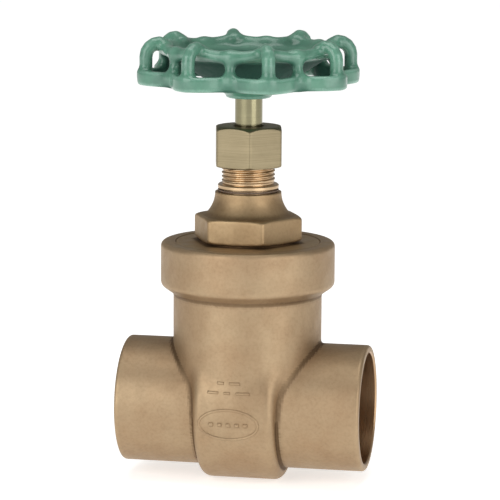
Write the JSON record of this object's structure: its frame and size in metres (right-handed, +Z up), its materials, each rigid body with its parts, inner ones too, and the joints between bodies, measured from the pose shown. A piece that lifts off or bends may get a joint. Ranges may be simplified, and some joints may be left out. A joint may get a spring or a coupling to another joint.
{
  "type": "gate valve",
  "caption": "Bronze gate valve with solder cups, screwed bonnet, non-rising stem and lobed handwheel; turning the wheel lifts a tapered gate out of the flow.",
  "frame": {"origin": "where the pipe axis meets the stem axis", "axes": "+X along the pipe axis, +Z up along the stem axis towards the handwheel"},
  "size_m": [0.0916, 0.0778, 0.1658],
  "materials": {
    "body_bronze": "sand-cast, matte with a fine grain",
    "bonnet_bronze": "sand-cast neck over machined hexagon",
    "turned_bronze": "turned bronze",
    "machined_brass": "machined, satin",
    "stem_brass": "machined and polished",
    "green_enamel": "glossy enamel over die casting",
    "gasket_fibre": "matte fibre sheet",
    "packing_graphite": "braided, matte",
    "plate_aluminium": "satin",
    "plated_steel": "plated"
  },
  "bodies": {
    "housing": {"body": "body_bronze", "seat_ring_left": "turned_bronze", "seat_ring_right": "turned_bronze", "bonnet": "bonnet_bronze", "bonnet_gasket": "gasket_fibre", "stuffing_box": "turned_bronze", "stuffing_box_gasket": "gasket_fibre", "thrust_washer": "machined_brass", "packing_washer": "machined_brass", "packing_ring_1": "packing_graphite", "packing_ring_2": "packing_graphite", "packing_ring_3": "packing_graphite", "packing_ring_4": "packing_graphite", "packing_gland": "machined_brass", "packing_nut": "machined_brass"},
    "stem_group": {"stem": "stem_brass", "handwheel": "green_enamel", "id_plate": "plate_aluminium", "lock_washer": "plated_steel", "handwheel_nut": "machined_brass"},
    "gate": {"wedge": "turned_bronze"}
  },
  "joints": [
    {"name": "stem_turn", "type": "hinge", "parent": "housing", "child": "stem_group", "pos_m": [0, 0, 0.11], "axis": [0, 0, 1], "range_deg": [0, 3555]},
    {"name": "gate_lift", "type": "slide", "parent": "housing", "child": "gate", "axis": [0, 0, 1], "range_m": [0, 0.0396]}
  ],
  "couplings": [
    {"joint": "gate_lift", "follows": "stem_turn", "m_per_rad": 0.00063662}
  ]
}
